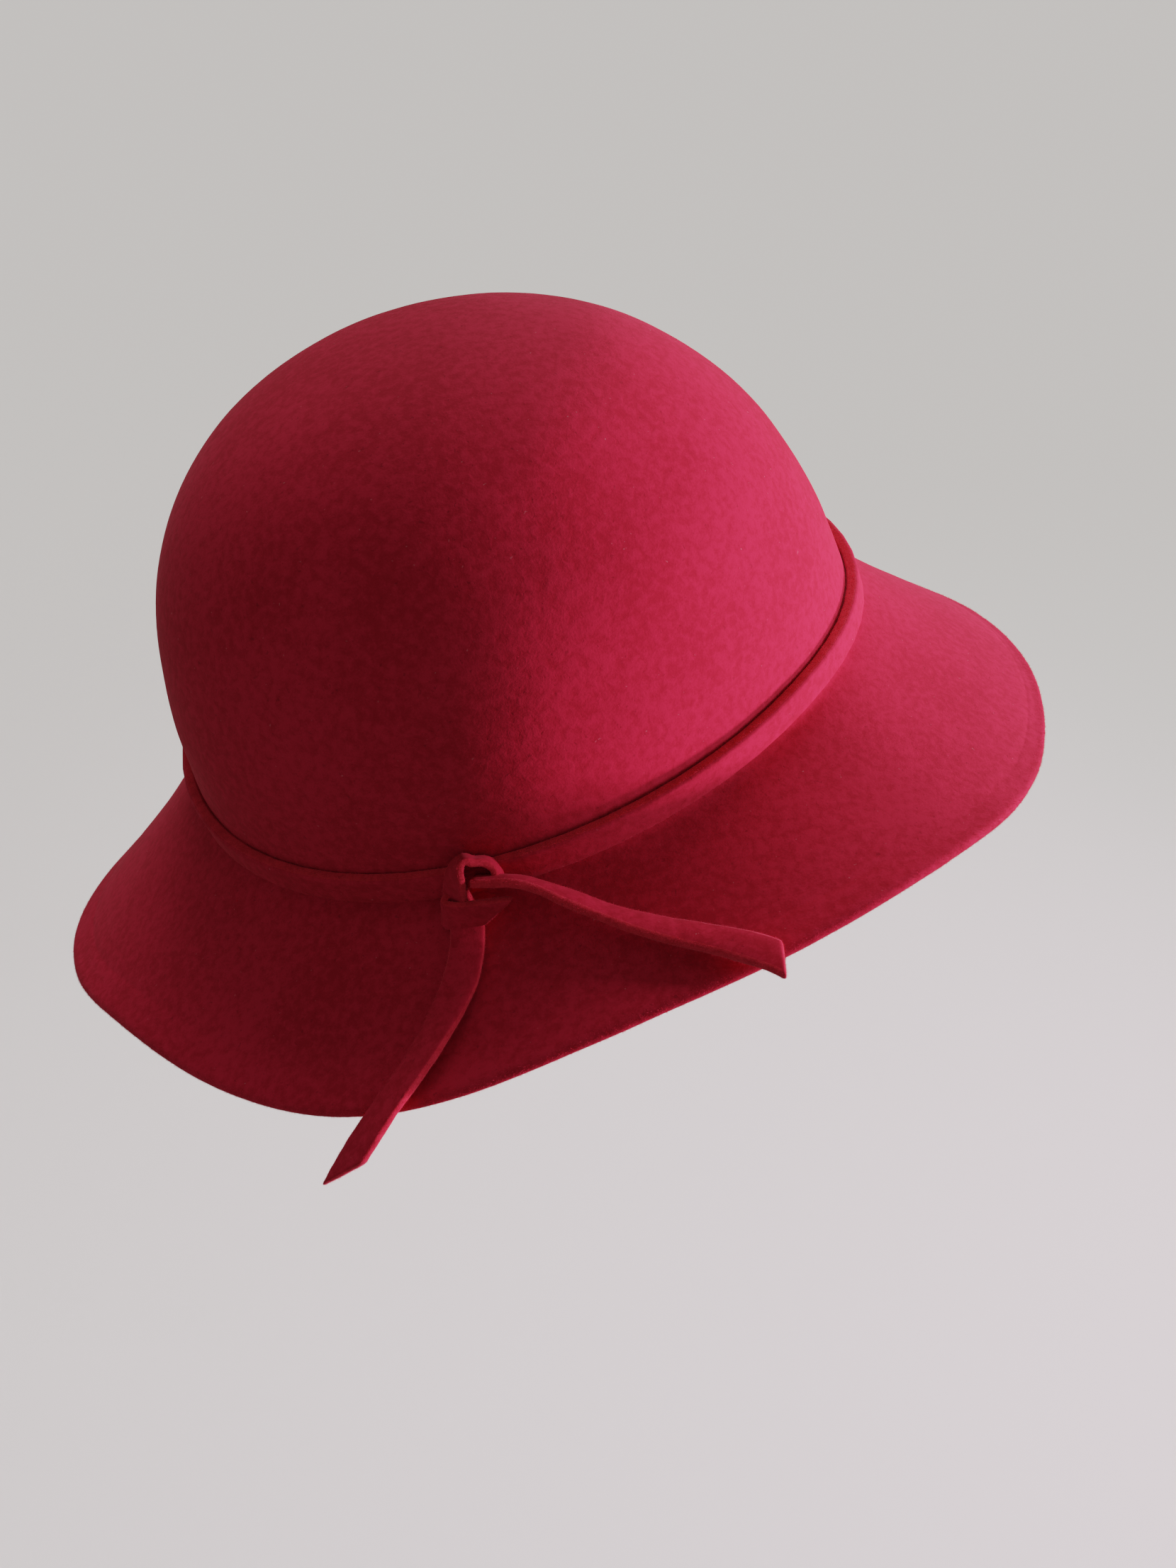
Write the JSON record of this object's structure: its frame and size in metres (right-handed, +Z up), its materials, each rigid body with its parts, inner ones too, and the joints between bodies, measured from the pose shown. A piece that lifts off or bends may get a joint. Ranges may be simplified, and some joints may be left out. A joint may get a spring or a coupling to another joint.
{
  "type": "felt cloche hat",
  "caption": "Wool felt cloche with a domed crown, a soft turned-down brim with a folded hem, and a narrow felt band knotted at the side, its ends hanging free.",
  "frame": {"origin": "middle of the head opening, level with the foot of the crown, where the hat sits on a head", "axes": "+Z up through the crown, +X to the front of the hat, +Y to the wearer's left; the knot is on the wearer's right"},
  "size_m": [0.3118, 0.2674, 0.1559],
  "materials": {
    "felt_body": "crimson wool felt, matt with a soft nap",
    "felt_strap": "crimson wool felt cut in straps, paler at the cut edges"
  },
  "bodies": {
    "root": {"felt_body": "felt_body", "band": "felt_strap", "knot": "felt_strap", "tie_end_back": "felt_strap", "tie_end_front": "felt_strap"}
  },
  "joints": []
}
